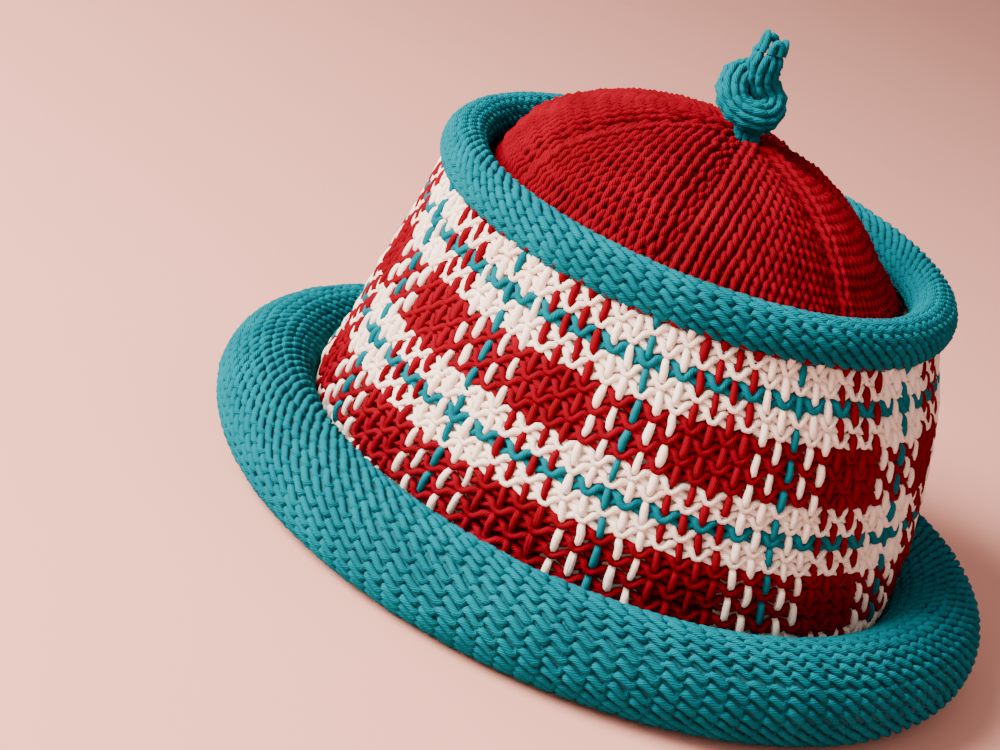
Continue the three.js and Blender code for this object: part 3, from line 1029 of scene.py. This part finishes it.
# %% Backing of the crown
FLAT_INNER = 5.0
CROWN_BACKING = 2.5
FLAT_RINGS = 28
flat_radii = FLAT_INNER + np.linspace(0.0, DOME_LENGTH[-1], FLAT_RINGS)
crown_outline = [(radius, 0.0) for radius in flat_radii]
crown_outline += [(radius, -BACKING_WALL) for radius in flat_radii[::-1]]


def crown_bend(radius, azimuth, height):
    """Lays the flat ring on the crown."""
    return crown_place(azimuth, DOME_LENGTH[-1] + FLAT_INNER - radius, height - CROWN_BACKING)


crown_wall = spun_wall("crown_backing", crown_outline, crown_bend)
make_object("crown_backing", crown_wall, red_felt, "red_wool", "crown")
print("crown backing,", triangles(crown_wall), "triangles")

# %% [markdown]
# The cord on top is a knitted cord of five stitches, tied in an overhand knot. Its yarn
# climbs round it in one long spiral of plain stitches. The route of its middle is the solid
# model's, but its last five points are moved by up to 1.4 mm, to make room for the yarn. A
# frame that never twists is carried along it, because the frame of a bevelled curve would
# turn over where the knot turns back.

# %% Route of the cord
CORD_FOOT = np.array([LEAN_RIGHT, 0.0, DOME_TOP])
ROUTE_STEPS = 24          # for each span between two points
CORD_ROUTE = [(0.0, 0.0, -3.2), (0.2, 0.4, 1.6), (1.8, 4.0, 6.6), (-1.6, 5.0, 12.2),
              (-7.4, 1.8, 15.0), (-9.2, -2.8, 11.4), (-6.4, -5.4, 7.0), (-0.8, -5.9, 5.8),
              (3.4, -2.6, 7.2), (2.8, 1.4, 11.0), (-1.4, 0.4, 15.0), (-2.6, -0.9, 19.6),
              (-2.0, -1.0, 25.6)]


def smooth_route(points, per_span):
    """A Catmull-Rom curve through the points."""
    p = np.array(points)
    p = np.vstack([2 * p[0] - p[1], p, 2 * p[-1] - p[-2]])
    t = np.linspace(0, 1, per_span, endpoint=False)[:, None]
    spans = [0.5 * (2 * p[i] + (p[i + 1] - p[i - 1]) * t
                    + (2 * p[i - 1] - 5 * p[i] + 4 * p[i + 1] - p[i + 2]) * t ** 2
                    + (3 * p[i] - p[i - 1] - 3 * p[i + 1] + p[i + 2]) * t ** 3)
             for i in range(1, len(p) - 2)]
    return np.vstack(spans + [p[-2:-1]])


route = smooth_route(CORD_ROUTE, ROUTE_STEPS)
steps = np.linalg.norm(np.diff(route, axis=0), axis=1)
route_length = np.concatenate([[0.0], np.cumsum(steps)])
forward = np.gradient(route, axis=0)
forward = forward / np.linalg.norm(forward, axis=1)[:, None]
side = np.empty_like(forward)
side[0] = np.cross(forward[0], (0.0, 1.0, 0.0))
for i in range(1, len(side)):
    side[i] = side[i - 1] - forward[i] * side[i - 1].dot(forward[i])
    side[i] /= np.linalg.norm(side[i])
other = np.cross(forward, side)
print("cord", round(route_length[-1], 1), "mm long")

# %% [markdown]
# Inside the knot the cord swells and fills the loop, and its end is wider still. Four short
# loops of yarn stand up at that end, where the cord was cast off, and three more stick out
# at its foot. A loop is an arch of a little more than half a turn.

# %% Yarn of the cord
CORD_STITCHES = 5
CORD_ROW = 3.3
CORD_REACH = 0.85
CORD_NECK = 0.11
CORD_MIDDLE = 2.75        # radius of the yarn's middle line
CORD_DEPTH = 0.6
CORD_YARN = 1.1
KNOT_SWELL = 0.18
KNOT_SWELLS = (0.04, 0.16)        # as shares of the cord's length
END_SWELL = 0.16
END_SWELLS = (0.8, 0.9)
LOOP_ARCH = (-0.15, 1.15)         # half turns
LOOP_STEPS = 11
# direction in degrees from +X, then in mm: distance from the middle, height, rise, half width
END_LOOPS = [(20, 3.2, 25.4, 2.6, 1.5), (110, 2.6, 25.6, 2.8, 1.4),
             (200, 3.2, 25.6, 3.8, 1.4), (290, 3.0, 25.2, 2.5, 1.5)]
FOOT_LOOPS = [(205, 5.8, 2.8, 1.7, 1.9), (262, 5.8, 2.4, 1.6, 1.7), (325, 5.2, 2.2, 1.5, 1.7)]


def cord_place(distance, angle, out):
    """A point round the cord, in metres."""
    middle, one, two = [np.stack([np.interp(distance, route_length, part[:, axis])
                                  for axis in range(3)], axis=-1)
                        for part in (route, side, other)]
    place = middle + (one * np.cos(angle)[:, None] + two * np.sin(angle)[:, None]) * out[:, None]
    return (place + CORD_FOOT) * MM


def arch(middle, direction, away, low, tall, wide):
    """A short loop of yarn that stands up beside a middle."""
    bent = np.linspace(*LOOP_ARCH, LOOP_STEPS) * math.pi
    sideways = wide * np.cos(bent)
    facing = math.radians(direction)
    points = np.stack([away * math.cos(facing) - sideways * math.sin(facing),
                       away * math.sin(facing) + sideways * math.cos(facing),
                       low + tall * np.sin(bent)], axis=-1)
    return (points + CORD_FOOT + middle * np.array([1, 1, 0])) * MM


cord_turns = int(route_length[-1] / CORD_ROW)
turn = np.arange(cord_turns * CORD_STITCHES * POINTS_PER_STITCH) / POINTS_PER_STITCH
climb = turn / CORD_STITCHES * CORD_ROW - CORD_ROW * CORD_REACH * np.cos(TAU * turn)
cord_angle = TAU * (turn + CORD_NECK * np.sin(2 * TAU * turn)) / CORD_STITCHES
cord_share = climb / route_length[-1]
swell = KNOT_SWELL * smooth_step(cord_share, *KNOT_SWELLS)
swell = swell + END_SWELL * smooth_step(cord_share, *END_SWELLS)
cord_out = (CORD_MIDDLE - CORD_DEPTH * np.cos(2 * TAU * turn)) * (1 + swell)
cord_yarns = [cord_place(climb, cord_angle, cord_out)]
cord_yarns += [arch(route[-1], *loop) for loop in END_LOOPS]
cord_yarns += [arch(np.zeros(3), *loop) for loop in FOOT_LOOPS]
cord_mesh = yarn_mesh("knot_cord_yarn", cord_yarns, CORD_YARN, closed=False, seed=11)
make_object("knot_cord_yarn", cord_mesh, teal_yarn, "teal_wool", "knot_cord")
print("knot_cord_yarn", triangles(cord_mesh), "triangles")
